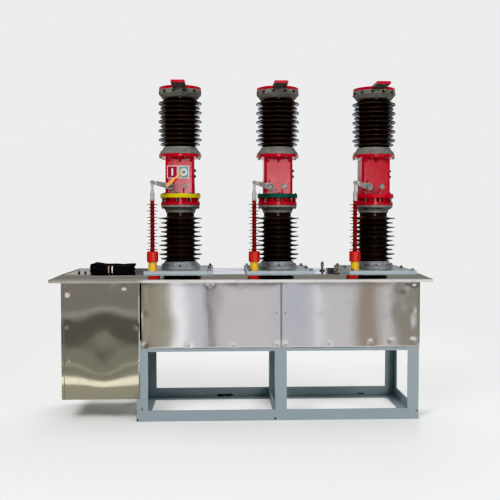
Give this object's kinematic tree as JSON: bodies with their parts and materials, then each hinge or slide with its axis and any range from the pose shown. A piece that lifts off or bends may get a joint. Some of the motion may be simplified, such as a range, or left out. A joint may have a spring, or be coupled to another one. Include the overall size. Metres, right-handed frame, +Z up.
{
  "type": "outdoor high voltage circuit breaker",
  "caption": "Outdoor circuit breaker: ribbed porcelain poles with red housings and cranked pull rods on a stainless sheet housing over an angle steel stand.",
  "frame": {"origin": "on the floor, midway between the roof's four edges", "axes": "+X to the right seen from the front, -Y is the front, +Z up"},
  "size_m": [2.65, 0.88, 2.38],
  "materials": {
    "stand_paint": "satin light grey blue paint on angle steel",
    "stainless_sheet": "brushed stainless sheet, softly dented",
    "frame_zinc": "plain zinc coated steel",
    "deck_plate": "pale grey paint",
    "flange_grey": "dark grey cast flange",
    "flange_silver": "silver grey cast flange",
    "porcelain_brown": "near black brown glaze",
    "housing_red": "gloss red paint on a casting",
    "terminal_red": "gloss red paint, bare grey below",
    "terminal_metal": "machined contact pad",
    "ring_yellow": "satin yellow",
    "ring_green": "satin dark green",
    "ring_red": "satin red",
    "crank_metal": "zinc coated steel",
    "rod_metal": "zinc coated steel",
    "rod_silicone": "dark red silicone",
    "cap_red": "gloss bright red",
    "tube_yellow": "gloss yellow",
    "pointer_orange": "orange yellow paint",
    "eye_steel": "zinc coated lifting eye",
    "cable_black": "black cable sheath",
    "gland_black": "black plastic gland"
  },
  "bodies": {
    "base": {"stand_legs": "stand_paint", "stand_bottom_rails": "stand_paint", "stand_bottom_cross_rails": "stand_paint", "stand_top_rails": "stand_paint", "stand_top_cross_rails": "stand_paint", "frame_posts": "frame_zinc", "roof_frame": "frame_zinc", "floor_plates": "stainless_sheet", "cabinet_inner_wall": "stainless_sheet", "cabinet_front_cover": "stainless_sheet", "tank_front_covers": "stainless_sheet", "back_covers": "stainless_sheet", "side_covers": "stainless_sheet", "roof": "stainless_sheet", "pole_base_plates": "deck_plate", "guide_tubes": "tube_yellow", "lifting_eyes": "eye_steel", "bottom_flanges": "flange_silver", "lower_porcelains": "porcelain_brown", "middle_flanges": "flange_grey", "phase_ring_yellow": "ring_yellow", "phase_ring_green": "ring_green", "phase_ring_red": "ring_red", "upper_flanges": "flange_grey", "upper_porcelains": "porcelain_brown", "top_flanges": "flange_grey", "top_terminals": "terminal_red", "lower_terminals": "terminal_metal", "cable_hank": "cable_black", "cable_lead": "cable_black", "cable_gland": "gland_black", "housing_a": "housing_red", "housing_b": "housing_red", "housing_c": "housing_red"},
    "crank_a": {"crank_a": "crank_metal", "position_pointer": "pointer_orange"},
    "rod_a": {"rod_fitting_a": "rod_metal", "rod_insulator_a": "rod_silicone", "rod_cap_a": "cap_red"},
    "crank_b": {"crank_b": "crank_metal"},
    "rod_b": {"rod_fitting_b": "rod_metal", "rod_insulator_b": "rod_silicone", "rod_cap_b": "cap_red"},
    "crank_c": {"crank_c": "crank_metal"},
    "rod_c": {"rod_fitting_c": "rod_metal", "rod_insulator_c": "rod_silicone", "rod_cap_c": "cap_red"}
  },
  "joints": [
    {"name": "crank_a_turn", "type": "hinge", "parent": "base", "child": "crank_a", "pos_m": [-0.511, -0.151, 1.653], "axis": [0, -1, 0], "range_deg": [0, 24]},
    {"name": "rod_a_slide", "type": "slide", "parent": "base", "child": "rod_a", "axis": [0, 0, -1], "range_m": [0, 0.05075]},
    {"name": "crank_b_turn", "type": "hinge", "parent": "base", "child": "crank_b", "pos_m": [0.209, -0.151, 1.653], "axis": [0, -1, 0], "range_deg": [0, 24]},
    {"name": "rod_b_slide", "type": "slide", "parent": "base", "child": "rod_b", "axis": [0, 0, -1], "range_m": [0, 0.05075]},
    {"name": "crank_c_turn", "type": "hinge", "parent": "base", "child": "crank_c", "pos_m": [0.929, -0.151, 1.653], "axis": [0, -1, 0], "range_deg": [0, 24]},
    {"name": "rod_c_slide", "type": "slide", "parent": "base", "child": "rod_c", "axis": [0, 0, -1], "range_m": [0, 0.05075]}
  ],
  "couplings": [
    {"joint": "rod_a_slide", "follows": "crank_a_turn", "m_per_rad": 0.12107},
    {"joint": "crank_b_turn", "follows": "crank_a_turn", "ratio": 1},
    {"joint": "rod_b_slide", "follows": "crank_a_turn", "m_per_rad": 0.12107},
    {"joint": "crank_c_turn", "follows": "crank_a_turn", "ratio": 1},
    {"joint": "rod_c_slide", "follows": "crank_a_turn", "m_per_rad": 0.12107}
  ]
}
